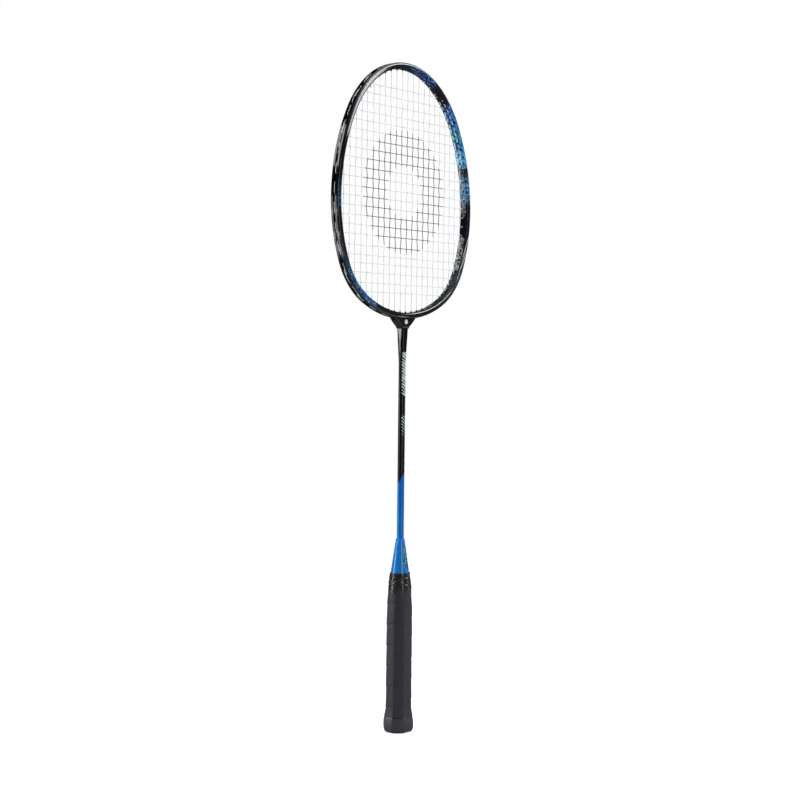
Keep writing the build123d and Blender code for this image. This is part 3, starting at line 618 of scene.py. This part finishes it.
def wrapReach(angle, height):
    grow = wrap["thickness"]
    if height < skirtTop:
        rise = (skirtTop - height) / (skirtTop - wrapLow.z)
        grow += (wrap["skirt"] - wrap["thickness"]) * rise ** wrap["skirtCurve"]
    phase = ((height - wrapLow.z) / wrap["pitch"] - angle / math.tau) % 1.0
    edge = min(phase, 1 - phase) * wrap["pitch"]  # mm from the seam
    proud = wrap["overlap"] * (1 - phase)
    if edge < wrap["seamWidth"]:
        proud -= wrap["seamDepth"] * (0.5 + 0.5 * math.cos(math.pi * edge / wrap["seamWidth"]))
    outCells, upCells = wrap["lumps"]
    place = Vector((math.cos(angle) * outCells, math.sin(angle) * outCells, height * upCells))
    proud += wrap["unevenness"] * noise.noise(place)
    reach = handleReach(angle, grow, wrap["crispness"])
    slope = (wrap["shoulderFootRadius"] - wrap["shoulderTopRadius"]) / (tapeHigh.z - wrap["shoulderFoot"])
    turned = wrap["shoulderFootRadius"] + wrap["thickness"] - slope * (height - wrap["shoulderFoot"])
    soft = wrap["shoulderSoftness"]
    if height > wrap["shoulderFoot"] - wrap["shoulderBlend"]:
        reach = (reach ** -soft + turned ** -soft) ** (-1 / soft)
    return (reach + proud) * mm


rings = []
steps = int((wrapHigh.z - wrapLow.z) / wrap["step"])
for r in range(steps + 1):
    height = wrapLow.z + (wrapHigh.z - wrapLow.z) * r / steps
    rings.append([
        (wrapReach(a, height) * math.cos(a), wrapReach(a, height) * math.sin(a), height * mm)
        for a in (math.tau * i / wrap["around"] for i in range(wrap["around"]))
    ])
gripWrap = ringMesh("gripWrap", rings)
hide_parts("grip_wrap")
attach(gripWrap, "root")

gripFinish = {
    "low": "#15161a", "high": "#222329", "cloudScale": 90.0, "poreSize": 0.9,  # clouds a metre, mm
    "roughness": (0.45, 0.62),
}
# soft foam-backed skin, faint pores, little shine
gripSkin, tree, shader, spot = newMaterial("polyurethane_grip_dry")
pores = cellsAt(tree, spot, gripFinish["poreSize"]).outputs["Distance"]
cloud = noiseAt(tree, spot, gripFinish["cloudScale"], 4.0)
color = rampColor(tree, cloud, [(0.3, gripFinish["low"]), (0.7, gripFinish["high"])])
tree.links.new(color, shader.inputs["Base Color"])
rough = remap(tree, cloud, 0.0, 1.0, *gripFinish["roughness"])
tree.links.new(rough, shader.inputs["Roughness"])
tree.links.new(bump(tree, pores, 0.35, 0.15), shader.inputs["Normal"])
gripWrap.data.materials.append(gripSkin)

cap = {
    # height and growth from the wood up the outside, mm; the foot is rounded over
    "profile": [
        (0.0, 1.35), (0.35, 2.2), (1.0, 2.9), (2.2, 3.6), (4.2, 4.1), (6.5, 4.3),
        (9.0, 4.25), (11.5, 4.0), (14.0, 3.55), (15.4, 3.25), (15.9, 2.9), (16.05, 2.3),
    ],
    # mm; the recess under the badge, with its bevelled rim
    "badge": 8.6, "badgeDepth": 0.7, "badgeRim": 0.2, "badgeBevel": 0.15,
    "badgeMiddle": 0.2,  # radius that the floor of the recess starts from
    "crispness": 30,
    "around": 160,  # points in a ring
    "low": "#242529", "high": "#2e2f34", "cloudScale": 160.0,  # clouds a metre
}
angles = [math.tau * i / cap["around"] for i in range(cap["around"])]
recess = [
    (cap["badgeMiddle"], cap["badgeDepth"]), (cap["badge"], cap["badgeDepth"]),
    (cap["badge"], cap["badgeBevel"]), (cap["badge"] + cap["badgeRim"], 0.0),
]
rings = [
    [(reach * mm * math.cos(a), reach * mm * math.sin(a), height * mm) for a in angles]
    for reach, height in recess
]
for height, grow in cap["profile"]:
    reaches = [handleReach(a, grow, cap["crispness"]) * mm for a in angles]
    rings.append([
        (reach * math.cos(a), reach * math.sin(a), height * mm)
        for reach, a in zip(reaches, angles)
    ])
buttCap = ringMesh("buttCap", rings, closeTop=True)
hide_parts("butt_cap")
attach(buttCap, "root")
capPlastic, tree, shader, spot = newMaterial("polyurethane_cap_moulded")  # satin moulded skin
cloud = noiseAt(tree, spot, cap["cloudScale"], 4.0)
color = rampColor(tree, cloud, [(0.3, cap["low"]), (0.7, cap["high"])])
tree.links.new(color, shader.inputs["Base Color"])
shader.inputs["Roughness"].default_value = 0.42
buttCap.data.materials.append(capPlastic)
dress(capPlastic, "butt_badge")

collar = {
    # mm; the film is wound on over the top of the wrap in tight turns, puckered where it follows the taper
    "pitch": 6.6, "lap": 0.22, "thickness": 0.4, "pucker": 0.13, "seat": 0.08, "hem": 5.0,
    "step": 0.25,  # from ring to ring
    # no unit
    "around": 220,  # points in a ring
    "topShrink": 0.94,
    "folds": (3.2, 0.12, 0.55),  # noise cells from the axis out, sideways in a mm of height, and up a mm
    "fineFolds": (9, 1.7, 0.6),  # noise cells from the axis out, up a mm, and up in a radian of turn
    "fineShare": 0.6,
    "low": "#151517", "high": "#222224", "creaseScale": 420.0,  # creases a metre
}
# thin glossy film with small wrinkles
collarFilm, tree, shader, spot = newMaterial("PVC_finishing_tape_gloss")
crease = noiseAt(tree, spot, collar["creaseScale"], 3.0)
color = rampColor(tree, crease, [(0.3, collar["low"]), (0.7, collar["high"])])
tree.links.new(color, shader.inputs["Base Color"])
shader.inputs["Roughness"].default_value = 0.2
tree.links.new(bump(tree, crease, 0.25, 0.2), shader.inputs["Normal"])
foldOut, foldLean, foldUp = collar["folds"]
fineOut, fineUp, fineTwist = collar["fineFolds"]
rings = []
steps = int((tapeHigh.z - tapeLow.z) / collar["step"])
for r in range(steps + 1):
    height = tapeLow.z + (tapeHigh.z - tapeLow.z) * r / steps
    hem = min(1.0, (height - tapeLow.z) / collar["hem"])
    ring = []
    for a in (math.tau * i / collar["around"] for i in range(collar["around"])):
        lapPhase = ((height - tapeLow.z) / collar["pitch"] + a / math.tau) % 1.0
        right, forth = math.cos(a), math.sin(a)
        folds = noise.noise(Vector((right * foldOut + height * foldLean, forth * foldOut, height * foldUp)))
        fine = noise.noise(Vector((right * fineOut, forth * fineOut, height * fineUp + a * fineTwist)))
        wrinkle = collar["pucker"] * (folds + collar["fineShare"] * fine)
        lift = collar["seat"] + hem * (collar["thickness"] + collar["lap"] * lapPhase + wrinkle)
        reach = wrapReach(a, height) + lift * mm
        ring.append((reach * right, reach * forth, height * mm))
    rings.append(ring)
shrink = collar["topShrink"]
rings.append([(x * shrink, y * shrink, tapeHigh.z * mm) for x, y, z in rings[-1]])
collarTape = ringMesh("collarTape", rings)
collarTape.data.materials.append(collarFilm)
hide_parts("collar_tape")
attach(collarTape, "root")
print("handle made")

woodFinish = {"early": "#c79a62", "late": "#b5844c", "ringScale": 160.0, "waviness": 3.0}  # rings a metre
beech, tree, shader, spot = newMaterial("beech_turned")  # bare wood inside the handle
growthRings = addNode(tree, "ShaderNodeTexWave", {"wave_type": "RINGS"}, {
    "Vector": spot, "Scale": woodFinish["ringScale"], "Distortion": woodFinish["waviness"],
}).outputs["Fac"]
color = rampColor(tree, growthRings, [(0.2, woodFinish["early"]), (0.8, woodFinish["late"])])
tree.links.new(color, shader.inputs["Base Color"])
dress(beech, "handle_core")

steelFinish = {"color": "#c4c6c8", "scuffScale": 900.0, "roughness": (0.25, 0.45)}  # scuffs a metre
steel, tree, shader, spot = newMaterial("steel_zinc_plated")  # drawn wire, bright under thin zinc
scuffs = {"Vector": spot, "Scale": steelFinish["scuffScale"]}
scuff = addNode(tree, "ShaderNodeTexNoise", links=scuffs).outputs[0]
rough = remap(tree, scuff, 0.0, 1.0, *steelFinish["roughness"])
tree.links.new(rough, shader.inputs["Roughness"])
shader.inputs["Metallic"].default_value = 1.0
shader.inputs["Base Color"].default_value = hexColor(steelFinish["color"])
dress(steel, "grip_tack", "cap_staples")
